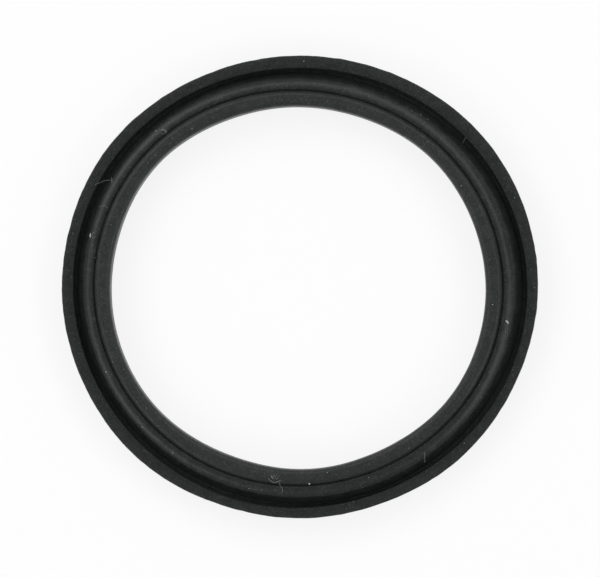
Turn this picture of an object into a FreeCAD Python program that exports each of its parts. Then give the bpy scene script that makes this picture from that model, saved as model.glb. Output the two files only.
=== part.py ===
import FreeCAD, Part

import math
import os

# Valve seal: a one-piece moulded rubber lip seal. It is drawn as the section that it is moulded in,
# and that section is turned once about the seal's axis.
# Millimetres, +Z up. The origin is the centre of the flat heel face, which the seal lies on.

# Widths across the section, from the bore outwards. They add up to the radius over the lip, 35 mm.
bore_diameter = 55.0
land_width = 2.2
crease_width = 0.4
bead_width = 2.65
groove_width = 0.64
lip_width = 1.61

# Heights up the section. Heel, bead and land step add up to the seal's height, 6.5 mm.
heel_thickness = 2.0
bead_height = 3.4
land_step = 1.1
lip_height = 3.0
crease_depth = 0.32

# The bead's outer flank: it starts at the end of the crest, slopes down by the drop, and then turns
# down steeply into the groove, over the short run of its side.
bead_crest_width = 1.2
bead_slope_drop = 1.5
bead_side_run = 0.3

# Chamfers that lead the heel into its housing, and those along the groove's root.
heel_chamfer = 0.4
groove_root_chamfer = 0.2

# Roundings of the section's corners. Both edges of the lip are left sharp, and so is the crease's root.
bead_side_rounding = 3.8
bead_crest_rounding = 1.6
bead_back_rounding = 0.55
land_rounding = 0.5
bore_rounding = 0.8

# Radii of the section's walls, each one measured from the wall inside it.
bore_radius = bore_diameter / 2
land_radius = bore_radius + land_width
bead_inner_radius = land_radius + crease_width
bead_crest_radius = bead_inner_radius + bead_crest_width
bead_foot_radius = bead_inner_radius + bead_width
bead_side_radius = bead_foot_radius - bead_side_run
lip_inner_radius = bead_foot_radius + groove_width
lip_radius = lip_inner_radius + lip_width

# The crease is a notch with one steep side, so its root lies close to the land.
crease_root_radius = land_radius + crease_width / 4

# Levels of the section's faces.
heel_level = 0.0
groove_level = heel_level + heel_thickness
lip_level = groove_level + lip_height
bead_level = groove_level + bead_height
bead_side_level = bead_level - bead_slope_drop
crease_level = bead_level - crease_depth
land_level = bead_level + land_step


def section_corners():
    """The section's corners as (radius, level, rounding), anticlockwise from the foot of the bore."""
    heel = [
        (bore_radius, heel_level + heel_chamfer, 0.0),
        (bore_radius + heel_chamfer, heel_level, 0.0),
        (lip_radius - heel_chamfer, heel_level, 0.0),
        (lip_radius, heel_level + heel_chamfer, 0.0),
    ]
    lip = [
        (lip_radius, lip_level, 0.0),
        (lip_inner_radius, lip_level, 0.0),
    ]
    groove = [
        (lip_inner_radius, groove_level + groove_root_chamfer, 0.0),
        (lip_inner_radius - groove_root_chamfer, groove_level, 0.0),
        (bead_foot_radius + groove_root_chamfer, groove_level, 0.0),
        (bead_foot_radius, groove_level + groove_root_chamfer, 0.0),
    ]
    bead = [
        (bead_side_radius, bead_side_level, bead_side_rounding),
        (bead_crest_radius, bead_level, bead_crest_rounding),
        (bead_inner_radius, bead_level, bead_back_rounding),
        (crease_root_radius, crease_level, 0.0),
    ]
    land = [
        (land_radius, land_level, land_rounding),
        (bore_radius, land_level, bore_rounding),
    ]
    return heel + lip + groove + bead + land


def rounding_lengths(points, roundings):
    """How much of its two sides each rounding takes. Roundings that would meet on a side shrink to fit it."""
    count = len(points)
    wanted = []
    for i in range(count):
        back = points[i - 1] - points[i]
        ahead = points[(i + 1) % count] - points[i]
        wanted.append(roundings[i] / math.tan(back.getAngle(ahead) / 2))
    shares = []
    for i in range(count):
        usable = 0.98 * (points[(i + 1) % count] - points[i]).Length
        needed = wanted[i] + wanted[(i + 1) % count]
        shares.append(usable / max(usable, needed))
    return [wanted[i] * min(shares[i - 1], shares[i]) for i in range(count)]


def rounded_wire(corners):
    """A closed wire of straight sides in the plane Y = 0, with a tangent arc at each rounded corner."""
    points = [FreeCAD.Vector(radius, 0, level) for radius, level, _ in corners]
    lengths = rounding_lengths(points, [rounding for _, _, rounding in corners])
    count = len(points)
    starts, ends, edges = [], [], []
    for i, corner in enumerate(points):
        back = (points[i - 1] - corner).normalize()
        ahead = (points[(i + 1) % count] - corner).normalize()
        starts.append(corner + back * lengths[i])
        ends.append(corner + ahead * lengths[i])
        if lengths[i] > 0:
            half_angle = back.getAngle(ahead) / 2
            inwards = (back + ahead).normalize()
            centre = corner + inwards * (lengths[i] / math.cos(half_angle))
            middle = centre - inwards * (lengths[i] * math.tan(half_angle))
            edges.append(Part.Arc(starts[i], middle, ends[i]).toShape())
    for i in range(count):
        edges.append(Part.LineSegment(ends[i], starts[(i + 1) % count]).toShape())
    return Part.Wire(Part.__sortEdges__(edges))


def seal_ring():
    """The whole seal: its section turned once about the axis."""
    section = Part.Face(rounded_wire(section_corners()))
    return section.revolve(FreeCAD.Vector(0, 0, 0), FreeCAD.Vector(0, 0, 1), 360)


os.makedirs("parts", exist_ok=True)
seal_ring().exportStep("parts/seal_ring.step")
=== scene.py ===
import math

import bpy
import numpy as np
from mathutils import Matrix, Vector


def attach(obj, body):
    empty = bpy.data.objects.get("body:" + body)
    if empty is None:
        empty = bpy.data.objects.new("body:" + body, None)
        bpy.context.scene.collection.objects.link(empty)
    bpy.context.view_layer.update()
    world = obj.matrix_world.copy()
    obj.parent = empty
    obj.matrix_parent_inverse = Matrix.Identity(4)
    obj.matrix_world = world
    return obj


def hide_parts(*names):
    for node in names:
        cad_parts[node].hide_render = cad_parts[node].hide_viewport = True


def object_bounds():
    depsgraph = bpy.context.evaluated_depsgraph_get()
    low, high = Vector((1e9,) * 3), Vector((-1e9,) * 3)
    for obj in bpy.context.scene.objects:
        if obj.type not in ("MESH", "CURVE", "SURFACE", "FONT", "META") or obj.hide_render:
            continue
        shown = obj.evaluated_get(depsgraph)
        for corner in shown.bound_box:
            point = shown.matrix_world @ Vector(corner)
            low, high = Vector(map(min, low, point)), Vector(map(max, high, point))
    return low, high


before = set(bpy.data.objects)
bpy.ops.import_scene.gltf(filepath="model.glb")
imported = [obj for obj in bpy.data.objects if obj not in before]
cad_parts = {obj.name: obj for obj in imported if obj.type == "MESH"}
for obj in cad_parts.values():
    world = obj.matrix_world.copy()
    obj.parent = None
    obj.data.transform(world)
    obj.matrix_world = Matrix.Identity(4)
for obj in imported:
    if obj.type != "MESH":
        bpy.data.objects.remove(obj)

cad_low, cad_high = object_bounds()

# A moulded rubber valve seal that lies on its heel, seen from straight above.
# The section is the CAD section, with tiny roundings where that has chamfers or sharp edges. Round the ring
# it is let go into the slightly oval and off-centre shape in which the real one lies, with its dust and lint.
# Lengths on the seal are millimetres, and a mesh gets them in metres. Those of the room are metres.
MM = 0.001

# Widths across the section, from the land outwards, and heights up it.
lip_radius = cad_high.x / MM
seal_height = cad_high.z / MM
land_width = 2.2
crease_width = 0.4
bead_width = 2.65
groove_width = 0.64
lip_width = 1.61
bead_height = 3.4
land_step = 1.1
lip_height = 3.0
crease_depth = 0.32
bead_crest_width = 1.2
bead_side_run = 0.3
bead_slope_drop = 1.5

lip_inner_radius = lip_radius - lip_width
bead_foot_radius = lip_inner_radius - groove_width
bead_side_radius = bead_foot_radius - bead_side_run
bead_inner_radius = bead_foot_radius - bead_width
bead_crest_radius = bead_inner_radius + bead_crest_width
land_radius = bead_inner_radius - crease_width
bore_radius = land_radius - land_width
crease_root_radius = land_radius + crease_width / 4

land_level = seal_height
bead_level = land_level - land_step
bead_side_level = bead_level - bead_slope_drop
groove_level = bead_level - bead_height
lip_level = groove_level + lip_height
crease_level = bead_level - crease_depth

# The outline's corners, anticlockwise from the inner end of the heel: radius, level, rounding, and the
# greatest spacing of points up to the next corner. The lip's edge is sharp, but not sharper than a moulding.
section_corners = [
    (bore_radius, 0.0, 0.4, 2.5),
    (lip_radius, 0.0, 0.4, 0.8),
    (lip_radius, lip_level, 0.15, 0.17),
    (lip_inner_radius, lip_level, 0.04, 0.4),
    (lip_inner_radius, groove_level, 0.25, 0.1),
    (bead_foot_radius, groove_level, 0.25, 0.3),
    (bead_side_radius, bead_side_level, 3.8, 0.2),
    (bead_crest_radius, bead_level, 1.6, 0.15),
    (bead_inner_radius, bead_level, 0.55, 0.15),
    (crease_root_radius, crease_level, 0.05, 0.2),
    (land_radius, land_level, 0.5, 0.2),
    (bore_radius, land_level, 0.8, 0.8),
]

# The mesh's fineness: the turn from point to point on a rounding, the fewest points there, and the points
# round the ring.
rounding_step = math.radians(11)
fewest_on_rounding = 4
points_round_ring = 720

# The upper side's finishes by radius, which blend from row to row: moulded grain from 0 to 1, roughness as
# the shader takes it, dust and painted light, where 1 is a thin pale film, and painted side light. The film
# is partly settled dust and partly painted light: a painted highlight on the bore's edge, and a painted lift
# of the shade in the crease and at the groove's foot, where it lies thickest. The painted side light makes
# the film thicker by that share on the side that its direction points to, so that side is painted lighter,
# and thinner opposite. A negative share is the other way round. A change within sudden_change mm has no blend
# to be seen.
# Below the groove, all round, the seal has the heel's finish.
sudden_change = 0.01
surface_finish = [
    # Painted highlight: the pale film is laid thick at the bore's edge to light that edge up.
    (bore_radius, 1.0, 0.46, 0.5, 0.0),
    (bore_radius + 0.5, 1.0, 0.44, 0.12, 0.0),
    (bore_radius + 0.9, 1.0, 0.50, 0.05, 0.0),
    (land_radius - 0.6, 1.0, 0.50, 0.05, 0.0),
    (land_radius - 0.4, 0.7, 0.40, 0.05, 0.0),
    (land_radius - 0.1, 0.5, 0.40, 0.05, 0.0),
    # Painted light: the crease's pale film also lifts the shade in it.
    (crease_root_radius, 0.3, 0.70, 0.8, 0.0),
    (bead_inner_radius, 0.5, 0.38, 0.05, 0.0),
    (bead_crest_radius, 0.35, 0.34, 0.05, 0.0),
    # Painted light: the last column of these rows paints the flank lighter on one side, as if lit more
    # strongly from there.
    (bead_crest_radius + 0.5, 0.35, 0.42, 0.16, 1.0),
    (bead_side_radius - 0.1, 0.3, 0.50, 0.05, 0.0),
    (bead_side_radius + 0.1, 0.3, 0.75, 0.9, -0.5),
    # Painted light: the pale film at the groove's foot is laid thickest to lift the shade there.
    (bead_foot_radius - 0.1, 0.3, 0.95, 1.8, 0.0),
    (bead_foot_radius, 0.3, 0.95, 2.4, 0.0),
    (bead_foot_radius + 0.1, 0.3, 0.95, 1.4, 0.0),
    (bead_foot_radius + 0.25, 0.3, 0.95, 0.4, 0.0),
    (lip_inner_radius, 0.3, 0.95, 0.5, 0.0),
    (lip_inner_radius + sudden_change, 0.35, 0.28, 0.05, 0.0),
    (lip_radius, 0.35, 0.42, 0.05, 0.0),
]
heel_finish = (0.7, 0.55, 0.05, 0.0)
# The direction round the ring towards which the painted side light thickens the pale film.
painted_light_direction = math.radians(55)

# How the ring lies. Each row is a radius, how far it has moved outwards all round, and the waves of that
# movement round the ring, as (waves per turn, cosine part, sine part). One wave is a shift sideways, two make
# the ring oval. Between the radii the movement blends.
oval = 0.515
lie_of_the_ring = [
    (bore_radius, 0.035, [(1, -0.244, -0.151), (2, oval, -0.063), (4, -0.10, 0.0), (5, 0.023, -0.06),
                          (6, -0.058, 0.0), (8, 0.043, 0.018)]),
    (land_radius, -0.04, [(1, -0.252, -0.142), (2, oval + 0.01, -0.11), (3, 0.086, 0.046),
                          (4, -0.013, -0.023), (5, -0.013, -0.019)]),
    (bead_crest_radius, -0.02, [(1, -0.26, -0.16), (2, oval - 0.05, -0.11), (3, 0.05, 0.06)]),
    (bead_foot_radius, 0.0, [(1, 0.0, -0.12), (2, oval + 0.04, -0.09), (3, 0.08, 0.06)]),
    (lip_inner_radius, -0.03, [(1, 0.011, -0.137), (2, oval + 0.03, -0.06), (3, 0.076, 0.06),
                               (4, -0.02, -0.075), (5, -0.017, -0.013), (6, -0.012, 0.016)]),
    (lip_radius, 0.0, [(1, 0.008, -0.011), (2, oval, 0.054), (3, 0.014, 0.06), (4, -0.085, 0.0),
                       (5, 0.025, 0.019), (6, -0.015, 0.0), (8, 0.04, 0.009), (9, 0.0, -0.025)]),
]

# Unevenness of the moulding, in waves of these lengths. It starts just above the heel, where the seal rests,
# and is full after the fade.
ripple_height = 0.010
ripple_longest = 6.0
ripple_shortest = 1.1
ripple_waves = 28
ripple_seed = 11
ripple_start_level = 0.2
ripple_fade = 0.6

# Unevenness of the lip's trimmed outer edge, and how far from the edge it reaches.
trim_height = 0.018
trim_longest = 9.0
trim_shortest = 0.8
trim_waves = 40
trim_seed = 23
trim_reach = 0.3


def linear(hex_colour):
    """The linear values of an sRGB colour that is written as six hex digits: c / 12.92 near black, and above
    that (c + 0.055) / 1.055 to the power of 2.4."""
    channels = [int(hex_colour[i:i + 2], 16) / 255 for i in (0, 2, 4)]
    return tuple(c / 12.92 if c <= 0.04045 else ((c + 0.055) / 1.055) ** 2.4 for c in channels) + (1.0,)


def rounded_outline(corners):
    """The closed outline through the corners, as points (n, 2): each corner is an arc that is tangent to both
    its sides, and each side between two arcs is divided evenly."""
    rows = np.array(corners)
    corner, rounding, spacing = rows[:, :2], rows[:, 2], rows[:, 3]
    back = np.roll(corner, 1, 0) - corner
    ahead = np.roll(corner, -1, 0) - corner
    back /= np.linalg.norm(back, axis=1)[:, None]
    ahead /= np.linalg.norm(ahead, axis=1)[:, None]
    half_angle = np.arccos((back * ahead).sum(1)) / 2
    inwards = (back + ahead) / np.linalg.norm(back + ahead, axis=1)[:, None]
    centre = corner + inwards * (rounding / np.sin(half_angle))[:, None]
    reach = (rounding / np.tan(half_angle))[:, None]
    start, end = corner + back * reach, corner + ahead * reach
    points = []
    for i in range(len(corners)):
        after = (i + 1) % len(corners)
        first = math.atan2(*(start[i] - centre[i])[::-1])
        last = math.atan2(*(end[i] - centre[i])[::-1])
        turn = (last - first + math.pi) % (2 * math.pi) - math.pi
        count = max(fewest_on_rounding, math.ceil(abs(turn) / rounding_step))
        arc = first + turn * np.linspace(0, 1, count)
        points.append(centre[i] + rounding[i] * np.stack([np.cos(arc), np.sin(arc)], 1))
        count = math.ceil(np.linalg.norm(start[after] - end[i]) / spacing[i])
        points.append(end[i] + (start[after] - end[i]) * (np.arange(1, count) / count)[:, None])
    return np.concatenate(points)


outline = rounded_outline(section_corners)


def surface_level(radius, steps=600):
    """The height of the seal's upper side at a moulded radius: the highest point of the outline there."""
    step_radius = np.linspace(bore_radius, lip_radius, steps)
    closed = np.vstack([outline, outline[:1]])
    low, high = closed[:-1], closed[1:]
    inside = (step_radius[:, None] - low[:, 0]) * (step_radius[:, None] - high[:, 0]) <= 0
    run = high[:, 0] - low[:, 0]
    run = np.where(np.abs(run) < 1e-9, 1e-9, run)
    level = low[:, 1] + (high[:, 1] - low[:, 1]) * (step_radius[:, None] - low[:, 0]) / run
    top = np.where(inside, np.clip(level, 0, land_level), -1).max(1)
    return np.interp(radius, step_radius, top)


def outward_shift(radius, angle):
    """How far a point at this radius and angle lies outside its moulded place: at each radius of the table a
    steady part plus a sum of waves, cosine part times cos(n angle) plus sine part times sin(n angle), blended
    evenly between the radii."""
    radii = [row[0] for row in lie_of_the_ring]
    shift = np.zeros(np.broadcast(radius, angle).shape)
    for k, (_, steady, waves) in enumerate(lie_of_the_ring):
        share = np.interp(radius, radii, np.eye(len(radii))[k])
        wave = steady + sum(c * np.cos(n * angle) + s * np.sin(n * angle) for n, c, s in waves)
        shift += share * wave
    return shift


def as_it_lies(radius, angle, level):
    """Points (x, y, z) of the seal as it lies, from moulded radius, angle in radians and level."""
    spread = radius + outward_shift(radius, angle)
    level = np.broadcast_to(level, spread.shape)
    return np.stack([spread * np.cos(angle), spread * np.sin(angle), level], -1)


def waves_in_space(points, seed, longest, shortest, count):
    """A smooth unevenness of about unit height: a sum of plane sine waves with random directions and starts,
    whose lengths run evenly in ratio from the longest to the shortest."""
    random = np.random.default_rng(seed)
    directions = random.normal(size=(count, 3))
    directions /= np.linalg.norm(directions, axis=1)[:, None]
    lengths = longest * (shortest / longest) ** np.linspace(0, 1, count)
    starts = random.uniform(0, 2 * np.pi, count)
    total = np.zeros(points.shape[:-1])
    for direction, length, start in zip(directions, lengths, starts):
        total += np.sin(points @ direction * (2 * np.pi / length) + start)
    return total * math.sqrt(2 / count)


def closed_surface(name, grids, rows_meet=False, last_end=True):
    """One mesh from grids of points (rows, columns, 3) in mm, with a quad between each point, the next column
    and the next row. Columns always meet. Where the rows meet too, that closes the surface. Otherwise a
    polygon closes each end, or only the first one where last_end is false."""
    points, loops, counts = [], [], []
    first = 0
    for grid in grids:
        rows, columns = grid.shape[:2]
        number = first + np.arange(rows * columns).reshape(rows, columns)
        beside = np.roll(number, -1, 1)
        above, above_beside = np.roll(number, -1, 0), np.roll(beside, -1, 0)
        quads = np.stack([number, beside, above_beside, above], -1)
        quads = quads if rows_meet else quads[:-1]
        loops.append(quads.reshape(-1))
        counts.append(np.full(quads.size // 4, 4))
        ends = [] if rows_meet else [number[0, ::-1], number[-1]][:1 + last_end]
        loops += ends
        counts += [np.array([len(end)]) for end in ends]
        points.append(grid.reshape(-1, 3))
        first += rows * columns
    points, loops, counts = np.concatenate(points), np.concatenate(loops), np.concatenate(counts)
    starts = np.concatenate([[0], np.cumsum(counts)[:-1]])
    mesh = bpy.data.meshes.new(name)
    mesh.vertices.add(len(points))
    mesh.vertices.foreach_set("co", (points * MM).astype(np.float32).reshape(-1))
    mesh.loops.add(len(loops))
    mesh.loops.foreach_set("vertex_index", loops.astype(np.int32))
    mesh.polygons.add(len(counts))
    mesh.polygons.foreach_set("loop_start", starts.astype(np.int32))
    mesh.polygons.foreach_set("use_smooth", np.ones(len(counts), bool))
    mesh.update(calc_edges=True)
    mesh.validate()
    piece = bpy.data.objects.new(name, mesh)
    bpy.context.collection.objects.link(piece)
    return piece


def give_values(piece, name, values):
    """Gives each point of a mesh a number that its material can read."""
    piece.data.attributes.new(name, "FLOAT", "POINT").data.foreach_set("value", values.astype(np.float32))


def make_seal():
    """The seal: the outline carried once round the axis, with its rows along the outline and its columns
    round the ring, then moved along its own normals by the ripple, and by the trimming at the lip's outer
    edge. The trimming falls off as exp of minus the squared distance from the edge over the squared reach."""
    angle = np.linspace(0, 2 * np.pi, points_round_ring, endpoint=False)[None, :]
    radius, level = outline[:, :1], outline[:, 1:]
    grid = as_it_lies(radius, angle, level)
    along = np.roll(outline, -1, 0) - np.roll(outline, 1, 0)
    along /= np.linalg.norm(along, axis=1)[:, None]
    outwards, upwards = along[:, 1:], -along[:, :1]
    fade = np.clip((level - ripple_start_level) / ripple_fade, 0, 1)
    ripple = waves_in_space(grid, ripple_seed, ripple_longest, ripple_shortest, ripple_waves)
    ripple = ripple_height * ripple * fade
    ring = np.stack([np.cos(angle), np.sin(angle), 0 * angle], -1) * lip_radius
    at_edge = np.exp(-((radius - lip_radius) ** 2 + (level - lip_level) ** 2) / trim_reach ** 2)
    trim = waves_in_space(ring, trim_seed, trim_longest, trim_shortest, trim_waves)
    trim = trim_height * trim * at_edge
    push = outwards * (ripple + trim)
    grid[..., 0] += push * np.cos(angle)
    grid[..., 1] += push * np.sin(angle)
    grid[..., 2] += upwards * ripple
    seal = closed_surface("seal", [grid], rows_meet=True)
    finish_radius, *finishes = np.array(surface_finish).T
    underneath = level < groove_level - sudden_change
    grain, roughness, dust, painted_side_light = [np.where(underneath, plain, np.interp(radius, finish_radius, finish))
                                     for finish, plain in zip(finishes, heel_finish)]
    # Painted light: the pale film is made thicker on one side of the ring, so that side is painted lighter.
    dust = dust * (1 + painted_side_light * np.cos(angle - painted_light_direction))
    for name, values in (("grain", grain), ("roughness", roughness), ("dust", dust)):
        give_values(seal, name, np.broadcast_to(values, dust.shape).ravel())
    return seal


# Fibres of lint: the places that each one lies through as (degrees, radius), its thickness, and its paleness
# from 0 to 1.
lint_fibres = [
    ([(153.7, 33.67), (153.1, 33.55), (152.8, 33.22), (152.1, 32.97), (151.4, 32.62), (150.9, 32.14),
      (150.5, 31.70)], 0.06, 0.20),
    ([(149.8, 32.00), (150.4, 31.66), (151.1, 31.43)], 0.08, 0.30),
    ([(166.2, 31.06), (165.7, 31.12), (165.2, 31.02), (165.5, 30.85)], 0.06, 0.20),
    ([(307.0, 31.04), (306.3, 31.59), (305.5, 32.23)], 0.08, 0.20),
    ([(158.2, 31.72), (158.1, 31.27), (157.4, 30.92), (157.4, 30.71), (157.7, 30.44),
      (157.9, 30.16)], 0.06, 0.15),
    ([(165.2, 31.09), (165.7, 31.23), (166.0, 31.10), (166.2, 30.92), (166.8, 31.06), (167.0, 30.81),
      (166.4, 30.62)], 0.06, 0.15),
    ([(261.2, 29.37), (262.0, 29.65), (262.9, 29.69), (263.8, 29.53), (264.4, 29.25)], 0.07, 0.35),
    ([(262.3, 29.20), (262.4, 28.29)], 0.07, 0.10),
    ([(262.7, 29.27), (263.3, 28.20)], 0.07, 0.10),
    ([(263.1, 29.36), (264.0, 28.51)], 0.07, 0.10),
    ([(264.4, 29.25), (264.2, 29.89), (264.7, 30.23), (265.3, 30.49), (265.3, 30.83), (264.9, 31.14),
      (264.9, 31.25)], 0.07, 0.20),
    ([(255.9, 31.22), (257.1, 31.15), (258.3, 31.12)], 0.05, 0.10),
    ([(131.8, 30.83), (131.4, 30.90), (130.8, 30.74), (130.4, 30.40), (130.5, 30.12), (131.3, 30.09),
      (132.0, 30.33), (132.1, 30.63)], 0.06, 0.15),
    ([(131.2, 30.88), (130.8, 30.52), (130.9, 30.15)], 0.09, 0.50),
    ([(41.2, 32.34), (41.6, 32.86), (41.8, 33.43)], 0.08, 0.00),
]

# A fibre's mesh: points along it and sides round it, how many thicknesses its middle lies above the seal, and
# the width of its ends as a share of the full one.
fibre_points = 41
fibre_sides = 6
fibre_lift = 0.8
fibre_end_width = 0.45

# Flecks of dust: degrees, radius, length, width, the turn of the length from the tangent in degrees, and
# paleness from 0 to 1.
dust_flecks = [
    (350.3, 31.12, 0.66, 0.32, 60, 0.85), (166.3, 31.43, 0.78, 0.19, 14, 1.0),
    (272.9, 29.80, 0.27, 0.25, 0, 1.0), (261.8, 28.94, 0.57, 0.16, -55, 0.4),
    (88.9, 34.25, 0.26, 0.16, 0, 0.5), (203.8, 31.05, 0.22, 0.18, 47, 0.8),
    (221.8, 31.15, 0.75, 0.22, 0, 0.05), (232.7, 31.10, 0.22, 0.18, 141, 0.5),
    (305.6, 32.14, 0.18, 0.13, 8, 0.3), (354.6, 28.56, 0.19, 0.14, 55, 0.8),
    (124.3, 28.35, 0.22, 0.14, 102, 0.6), (316.4, 33.77, 0.22, 0.17, 149, 0.3),
    (304.1, 29.30, 0.31, 0.20, 16, 0.0), (137.7, 28.56, 0.21, 0.17, 63, 0.15),
    (22.4, 34.23, 0.20, 0.13, 110, 0.35), (202.0, 29.46, 0.20, 0.16, 157, 0.2),
    (54.7, 31.82, 0.27, 0.17, 24, 0.1), (52.5, 31.86, 0.20, 0.16, 71, 0.1),
    (205.1, 30.49, 0.26, 0.17, 118, 0.0), (218.5, 28.69, 0.23, 0.19, 165, 0.1),
    (289.9, 30.59, 0.22, 0.14, 32, 0.25), (338.7, 33.59, 0.22, 0.17, 79, 0.0),
    (278.5, 28.31, 0.18, 0.12, 126, 0.5), (255.9, 31.22, 0.16, 0.13, 173, 0.6),
    (216.0, 27.81, 0.23, 0.15, 40, 0.0), (218.8, 30.70, 0.20, 0.16, 87, 0.0),
    (31.9, 28.40, 0.20, 0.14, 134, 0.6), (41.6, 33.26, 0.18, 0.15, 1, 0.0),
    (261.0, 29.25, 0.32, 0.21, 48, 0.0), (193.1, 28.87, 0.25, 0.20, 95, 0.0),
    (140.8, 28.63, 0.25, 0.16, 142, 0.0), (349.3, 31.15, 0.23, 0.19, 9, 0.0),
    (348.3, 31.04, 0.26, 0.16, 56, 0.0), (348.3, 31.35, 0.22, 0.17, 103, 0.0),
    (347.4, 31.15, 0.30, 0.19, 150, 0.0), (347.2, 31.46, 0.27, 0.22, 17, 0.0),
    (346.4, 31.36, 0.25, 0.16, 64, 0.0), (132.7, 31.31, 0.25, 0.20, 111, 0.35),
    (128.6, 31.10, 0.29, 0.18, 158, 0.1), (131.2, 30.88, 0.19, 0.16, 25, 0.5),
    (158.1, 31.37, 0.20, 0.13, 72, 0.0), (192.1, 31.23, 0.18, 0.15, 119, 0.0),
    (259.4, 31.12, 0.14, 0.10, 20, 0.3), (260.8, 31.08, 0.14, 0.10, 80, 0.0),
    (220.6, 31.04, 0.24, 0.14, 0, 0.1), (166.9, 34.25, 0.18, 0.14, 30, 0.1),
    (170.7, 29.55, 0.30, 0.14, 60, 0.0), (172.0, 30.05, 0.26, 0.14, 40, 0.0),
]

# Small specks scattered between the flecks, on the land, the bead and the lip: the middle of each of these
# bands, the share of the specks that it gets, and how far they spread from it. A speck's half length is the
# smallest one plus up to the growth.
speck_count = 260
speck_bands = [28.7, 31.0, 34.2]
speck_shares = [0.45, 0.4, 0.15]
speck_spread = 0.75
speck_smallest = 0.03
speck_growth = 0.03
speck_palest = 0.9
speck_seed = 5

# A fleck's mesh: rows and columns, the latitude in radians at which its two ends are closed, the greatest
# thickness, how many thicknesses its middle lies above the seal, and the two waves that roughen it.
fleck_rows = 5
fleck_columns = 8
fleck_end_latitude = 1.35
fleck_thickest = 0.16
fleck_lift = 0.3
fleck_two_waves = 0.16
fleck_three_waves = 0.12


def running_mean(values, reach=4):
    """The mean of each value with its neighbours within reach on both sides. Both end values stay."""
    count = 2 * reach + 1
    return np.convolve(np.pad(values, reach, "reflect", reflect_type="odd"), np.ones(count) / count, "valid")


def make_lint():
    """Each fibre is a tube along a path that runs evenly from place to place and is rounded off by a running
    mean. The path lies on the seal's upper side or on the straight line between its ends, whichever is
    higher, so a fibre bridges the groove. The tube thins towards both ends as the 0.3th power of a sine
    arch."""
    t = np.linspace(0, 1, fibre_points)
    turn = np.linspace(0, 2 * np.pi, fibre_sides, endpoint=False)
    grids, paleness = [], []
    for places, thickness, pale in lint_fibres:
        place_t = np.linspace(0, 1, len(places))
        angle, radius = [running_mean(np.interp(t, place_t, column)) for column in np.array(places).T]
        level = surface_level(radius)
        level = np.maximum(level, level[0] + (level[-1] - level[0]) * t)
        level = running_mean(level) + thickness * fibre_lift
        path = as_it_lies(radius, np.radians(angle), level)
        forward = np.gradient(path, axis=0)
        forward /= np.linalg.norm(forward, axis=1)[:, None]
        side = np.cross(forward, [0.0, 0.0, 1.0])
        side /= np.linalg.norm(side, axis=1)[:, None]
        over = np.cross(forward, side)
        half_width = thickness / 2 * (fibre_end_width + (1 - fibre_end_width) * np.sin(np.pi * t) ** 0.3)
        ring = np.cos(turn)[None, :, None] * side[:, None] + np.sin(turn)[None, :, None] * over[:, None]
        grids.append(path[:, None] + half_width[:, None, None] * ring)
        paleness.append(np.full(fibre_points * fibre_sides, pale))
    lint = closed_surface("lint_fibres", grids)
    give_values(lint, "paleness", np.concatenate(paleness))
    return lint


def make_dust():
    """Each fleck is a flat lump: an ellipsoid whose distance from its centre is roughened by two waves, laid
    on the highest point of the seal under its width. The flecks of the table are joined by the specks. Both
    the size and the paleness of a speck follow the square of a random number, so most are small and dark."""
    random = np.random.default_rng(speck_seed)
    places = [(math.radians(angle), radius, length, width, math.radians(turn), pale)
              for angle, radius, length, width, turn, pale in dust_flecks]
    sizes = speck_smallest + speck_growth * random.random(speck_count) ** 2
    bands = random.choice(speck_bands, speck_count, p=speck_shares)
    radii = bands + random.uniform(-speck_spread, speck_spread, speck_count)
    angles = random.uniform(0, 2 * np.pi, speck_count)
    turns = random.uniform(0, np.pi, speck_count)
    pales = speck_palest * random.random(speck_count) ** 2
    places += list(zip(angles, radii, 2 * sizes, 1.5 * sizes, turns, pales))
    latitude = np.linspace(-fleck_end_latitude, fleck_end_latitude, fleck_rows)[:, None]
    longitude = np.linspace(0, 2 * np.pi, fleck_columns, endpoint=False)[None, :]
    grids, paleness = [], []
    for angle, radius, length, width, turn, pale in places:
        start = random.uniform(0, 2 * np.pi, 3)
        rough = (1 + fleck_two_waves * np.sin(2 * longitude + start[0])
                 + fleck_three_waves * np.sin(3 * longitude + start[1] + latitude))
        thickness = min(width, fleck_thickest)
        u = rough * np.cos(latitude) * np.cos(longitude) * length / 2
        v = rough * np.cos(latitude) * np.sin(longitude) * width / 2
        w = np.sin(latitude) * thickness / 2 + 0 * longitude
        facing = angle + math.pi / 2 + turn
        rest = surface_level(radius + np.linspace(-0.5, 0.5, 5) * width).max()
        centre = as_it_lies(np.array(radius), np.array(angle), rest + thickness * fleck_lift)
        x = centre[0] + u * math.cos(facing) - v * math.sin(facing)
        y = centre[1] + u * math.sin(facing) + v * math.cos(facing)
        grids.append(np.stack([x, y, centre[2] + w], -1))
        paleness.append(np.full(w.size, pale))
    dust = closed_surface("dust_flecks", grids)
    give_values(dust, "paleness", np.concatenate(paleness))
    return dust


# A Mix node's sockets for colours.
COLOUR_A, COLOUR_B, COLOUR_OUT = 6, 7, 2


def add_node(tree, kind, inputs=None, **settings):
    """Adds a node with its settings. Each input is a value, or an output socket that it is linked to."""
    node = tree.nodes.new(kind)
    for key, value in settings.items():
        setattr(node, key, value)
    for key, value in (inputs or {}).items():
        if isinstance(value, bpy.types.NodeSocket):
            tree.links.new(value, node.inputs[key])
        else:
            node.inputs[key].default_value = value
    return node


def new_material(name):
    """A material and its empty node tree."""
    material = bpy.data.materials.new(name)
    material.use_nodes = True
    material.node_tree.nodes.clear()
    return material, material.node_tree


# Moulded nitrile rubber, filled with carbon black. The eye gets a near-black with a cool grey sheen. The land
# has the mould's spark-eroded grain, and the lip is smooth and so darker. A pale film dulls the groove and
# the
# crease: partly settled dust and partly painted light that lifts their shade. The same film paints a
# highlight on the bore's edge and paints one side of the bead's flank lighter.
rubber_black = linear("161b1a")
rubber_bloom = linear("1f2523")
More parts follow.
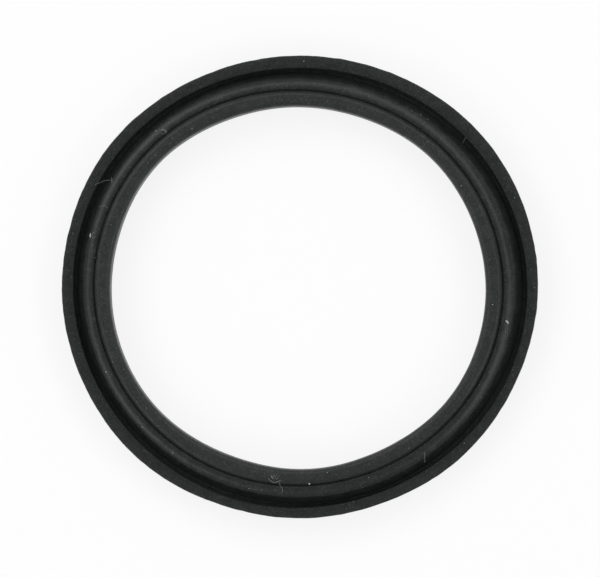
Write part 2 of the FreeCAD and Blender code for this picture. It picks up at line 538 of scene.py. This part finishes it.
# The pale film's grey: the colour of the dust and also of the painted light.
dust_and_painted_light_grey = linear("6f726e")
# The size of each pattern in mm. Such a mould's grain is about 0.1 mm long, too fine for this picture, so it
# is drawn as coarse as it needs to show.
grain_length = 0.30
grain_height = 0.04
mottle_length = 1.2
powder_length = 0.22
# The mottling's values between which the black blends into the bloom.
bloom_start, bloom_full = 0.38, 0.66
# The share of the rubber that a full film of dust and painted light hides, the mottling's values between
# which the film grows full, and the share of it that is left where it is thinnest.
film_cover = 0.25
film_start, film_full = 0.3, 0.7
film_thinnest = 0.65
# The powder's values between which its specks appear, and the share of the rubber that they hide at most.
powder_start, powder_full = 0.56, 0.78
powder_cover = 0.26
# How much the roughness varies with the grain, both ways.
roughness_change = 0.06


def moulded_nitrile_rubber():
    """Colour: black blended into bloom by the mottling, then into the pale grey by the film, which is the
    seal's own dust and painted light times the mottling, plus the powder. Roughness: the seal's own plus a
    change with
    the grain. Relief: fine noise times the seal's own grain."""
    material, tree = new_material("moulded_nitrile_rubber")
    place = add_node(tree, "ShaderNodeTexCoord").outputs["Object"]
    in_mm = add_node(tree, "ShaderNodeMapping", {"Vector": place, "Scale": (1 / MM,) * 3}).outputs[0]
    # The seal's dust values carry painted light as well as dust: a painted highlight, a painted lift of shade
    # and a painted side light.
    grain, matt, dust = [add_node(tree, "ShaderNodeAttribute", attribute_name=name).outputs["Fac"]
                         for name in ("grain", "roughness", "dust")]
    fine, mottle, powder = [add_node(tree, "ShaderNodeTexNoise", {
        "Vector": in_mm, "Scale": 1 / length, "Detail": detail}).outputs[0]
        for length, detail in ((grain_length, 2.0), (mottle_length, 3.0), (powder_length, 1.0))]
    bloom = add_node(tree, "ShaderNodeMapRange", {
        "Value": mottle, "From Min": bloom_start, "From Max": bloom_full})
    rubber = add_node(tree, "ShaderNodeMix", {
        "Factor": bloom.outputs[0], COLOUR_A: rubber_black, COLOUR_B: rubber_bloom}, data_type="RGBA")
    patchy = add_node(tree, "ShaderNodeMapRange", {
        "Value": mottle, "From Min": film_start, "From Max": film_full, "To Min": film_thinnest})
    # Painted light: this film carries the painted highlight, the lifted shade and the side light, besides the
    # dust.
    dust_and_painted_film = add_node(tree, "ShaderNodeMath", {0: dust, 1: patchy.outputs[0]}, operation="MULTIPLY")
    dust_and_painted_film = add_node(tree, "ShaderNodeMath", {0: dust_and_painted_film.outputs[0], 1: film_cover}, operation="MULTIPLY")
    specks = add_node(tree, "ShaderNodeMapRange", {
        "Value": powder, "From Min": powder_start, "From Max": powder_full, "To Max": powder_cover})
    veil = add_node(tree, "ShaderNodeMath", {0: dust_and_painted_film.outputs[0], 1: specks.outputs[0]}, operation="ADD")
    dusted = add_node(tree, "ShaderNodeMix", {
        "Factor": veil.outputs[0], COLOUR_A: rubber.outputs[COLOUR_OUT], COLOUR_B: dust_and_painted_light_grey},
        data_type="RGBA")
    uneven = add_node(tree, "ShaderNodeMapRange", {
        "Value": fine, "To Min": -roughness_change, "To Max": roughness_change})
    roughness = add_node(tree, "ShaderNodeMath", {0: matt, 1: uneven.outputs[0]}, operation="ADD")
    height = add_node(tree, "ShaderNodeMath", {0: fine, 1: grain}, operation="MULTIPLY")
    relief = add_node(tree, "ShaderNodeBump", {
        "Height": height.outputs[0], "Strength": 1.0, "Distance": grain_height * MM})
    shader = add_node(tree, "ShaderNodeBsdfPrincipled", {
        "Base Color": dusted.outputs[COLOUR_OUT], "Roughness": roughness.outputs[0],
        "Normal": relief.outputs[0], "IOR": 1.5})
    add_node(tree, "ShaderNodeOutputMaterial", {"Surface": shader.outputs[0]})
    return material


# Household lint and dust: thin fibres and flakes. The eye gets matt specks from mid grey up to a warm
# off-white, and the palest are the few large ones.
lint_pale = linear("cdcdc8")
lint_grey = linear("626360")
fluff_length = 0.15
# The fluff's values between which the paleness changes, and by how much both ways.
fluff_start, fluff_full = 0.3, 0.7
fluff_change = 0.15


def pale_lint():
    """Colour: grey blended into pale by the piece's own paleness plus a change with the fluff."""
    material, tree = new_material("pale_lint")
    place = add_node(tree, "ShaderNodeTexCoord").outputs["Object"]
    in_mm = add_node(tree, "ShaderNodeMapping", {"Vector": place, "Scale": (1 / MM,) * 3}).outputs[0]
    paleness = add_node(tree, "ShaderNodeAttribute", attribute_name="paleness").outputs["Fac"]
    fluff = add_node(tree, "ShaderNodeTexNoise", {"Vector": in_mm, "Scale": 1 / fluff_length, "Detail": 2.0})
    uneven = add_node(tree, "ShaderNodeMapRange", {
        "Value": fluff.outputs[0], "From Min": fluff_start, "From Max": fluff_full,
        "To Min": -fluff_change, "To Max": fluff_change})
    shade = add_node(tree, "ShaderNodeMath", {0: paleness, 1: uneven.outputs[0]}, operation="ADD",
                     use_clamp=True)
    colour = add_node(tree, "ShaderNodeMix", {
        "Factor": shade.outputs[0], COLOUR_A: lint_grey, COLOUR_B: lint_pale}, data_type="RGBA")
    shader = add_node(tree, "ShaderNodeBsdfPrincipled", {
        "Base Color": colour.outputs[COLOUR_OUT], "Roughness": 0.9})
    add_node(tree, "ShaderNodeOutputMaterial", {"Surface": shader.outputs[0]})
    return material


# Matt white paper that the seal lies on, swept up behind it on all sides. It lies just under the heel. To
# the lens it is partly plain white, so the seal's shadow on it is faint, as on overexposed paper, and it
# gives off a little white besides.
paper_white = linear("f7f7f7")
plain_white = (1, 1, 1, 1)
plain_white_share = 0.75
white_lift = 0.25
floor_centre = 0.001
floor_reach = 1.4
sweep_reach = 2.2
sweep_height = 0.35
floor_drop = 0.00002
floor_rows = 20
sweep_rows = 25
floor_columns = 96


def matt_white_paper():
    """The paper's own surface, mixed with plain white by its share for what the lens sees, straight, in gloss
    or through glass."""
    material, tree = new_material("matt_white_paper")
    rays = add_node(tree, "ShaderNodeLightPath").outputs
    seen = add_node(tree, "ShaderNodeMath", {
        0: rays["Is Camera Ray"], 1: rays["Is Glossy Ray"]}, operation="ADD")
    seen = add_node(tree, "ShaderNodeMath", {
        0: seen.outputs[0], 1: rays["Is Transmission Ray"]}, operation="ADD")
    lift = add_node(tree, "ShaderNodeMath", {0: seen.outputs[0], 1: white_lift}, operation="MULTIPLY")
    share = add_node(tree, "ShaderNodeMath", {
        0: seen.outputs[0], 1: plain_white_share}, operation="MULTIPLY")
    paper = add_node(tree, "ShaderNodeBsdfPrincipled", {
        "Base Color": paper_white, "Roughness": 0.95, "Specular IOR Level": 0.2,
        "Emission Color": plain_white, "Emission Strength": lift.outputs[0]})
    white = add_node(tree, "ShaderNodeEmission", {"Color": plain_white, "Strength": 1.0})
    mixed = add_node(tree, "ShaderNodeMixShader", {
        0: share.outputs[0], 1: paper.outputs[0], 2: white.outputs[0]})
    add_node(tree, "ShaderNodeOutputMaterial", {"Surface": mixed.outputs[0]})
    return material


def paper_sweep():
    """The floor and its upturned edge: level out to the floor's reach, then rising as the square of the
    distance from there."""
    level_rows = np.linspace(floor_centre, floor_reach, floor_rows)
    rows = np.concatenate([level_rows, np.linspace(floor_reach, sweep_reach, sweep_rows)[1:]])
    angle = np.linspace(0, 2 * np.pi, floor_columns, endpoint=False)[None, :]
    rise = np.clip((rows - floor_reach) / (sweep_reach - floor_reach), 0, 1) ** 2 * sweep_height
    grid = np.stack([rows[:, None] * np.cos(angle), rows[:, None] * np.sin(angle),
                     (rise - floor_drop)[:, None] + 0 * angle], -1) / MM
    floor = closed_surface("paper_floor", [grid], last_end=False)
    floor.data.materials.append(matt_white_paper())


# A pale room with soft square lamps round the seal: name, azimuth and elevation in degrees, width of the
# lamp, and radiance of its face. The strongest are at the left, the weakest low at the right and below.
room_strength = 0.218
lamp_distance = 1.1
soft_lamps = [
    ("softbox_upper_left", 138, 46, 0.8, 1.56),
    ("softbox_lower_left", 214, 45, 0.7, 1.40),
    ("softbox_upper_right", 66, 48, 0.8, 1.11),
    ("softbox_right", 336, 42, 0.7, 1.28),
    ("softbox_high_right", 20, 57, 0.4, 0.98),
    ("softbox_low_right", 28, 12, 0.4, 0.29),
    ("softbox_below", 270, 46, 0.6, 0.32),
]


def studio_light():
    """Each lamp faces the seal. Its power is pi times its area times the radiance of its face."""
    world = bpy.data.worlds.new("pale_room")
    bpy.context.scene.world = world
    world.use_nodes = True
    tree = world.node_tree
    tree.nodes.clear()
    light = add_node(tree, "ShaderNodeBackground", {"Color": plain_white, "Strength": room_strength})
    add_node(tree, "ShaderNodeOutputWorld", {"Surface": light.outputs[0]})
    for name, azimuth, elevation, width, radiance in soft_lamps:
        lamp = bpy.data.lights.new(name, "AREA")
        lamp.shape = "SQUARE"
        lamp.size = width
        lamp.energy = math.pi * width ** 2 * radiance
        holder = bpy.data.objects.new(name, lamp)
        a, e = math.radians(azimuth), math.radians(elevation)
        direction = Vector((math.cos(a) * math.cos(e), math.sin(a) * math.cos(e), math.sin(e)))
        holder.location = lamp_distance * direction
        holder.rotation_euler = holder.location.to_track_quat("Z", "Y").to_euler()
        holder.visible_camera = False
        bpy.context.collection.objects.link(holder)


# The picture: its size and the place of the seal's centre in pixels, the mm that a pixel covers at the lip's
# face, the lens's distance in mm, how far and which way the lens stands off the seal's axis in degrees, and
# how far it sees in metres.
picture_width = 600
picture_height = 577
seal_centre_in_picture = (299.52, 286.46)
pixel = 0.1489
lens_distance = 1200
lens_lean = 1.1
lens_lean_direction = -25
sensor_width = 36
farthest_seen = 20


def make_camera():
    """The camera looks at the centre of the lip's face, along a line that leans off the axis by the lean."""
    lens = bpy.data.cameras.new("camera")
    camera = bpy.data.objects.new("camera", lens)
    bpy.context.collection.objects.link(camera)
    bpy.context.scene.camera = camera
    lean, way = math.radians(lens_lean), math.radians(lens_lean_direction)
    back = Vector((math.sin(lean) * math.cos(way), math.sin(lean) * math.sin(way), math.cos(lean)))
    right = Vector((0, 1, 0)).cross(back).normalized()
    up = back.cross(right)
    place = Vector((0, 0, lip_level * MM)) + back * lens_distance * MM
    camera.matrix_world = Matrix([[right[i], up[i], back[i], place[i]] for i in range(3)] + [[0, 0, 0, 1]])
    lens.sensor_fit = "HORIZONTAL"
    lens.sensor_width = sensor_width
    lens.lens = sensor_width * lens_distance / (picture_width * pixel)
    lens.shift_x = (picture_width / 2 - seal_centre_in_picture[0]) / picture_width
    lens.shift_y = (seal_centre_in_picture[1] - picture_height / 2) / picture_width
    lens.clip_end = farthest_seen


bpy.context.scene.view_settings.view_transform = "Standard"
make_camera()
studio_light()
paper_sweep()

rubber = moulded_nitrile_rubber()
lint = pale_lint()

seal = make_seal()
seal.data.materials.append(rubber)
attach(seal, "root")
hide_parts("seal_ring")

for piece in (make_lint(), make_dust()):
    piece.data.materials.append(lint)
    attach(piece, "root")
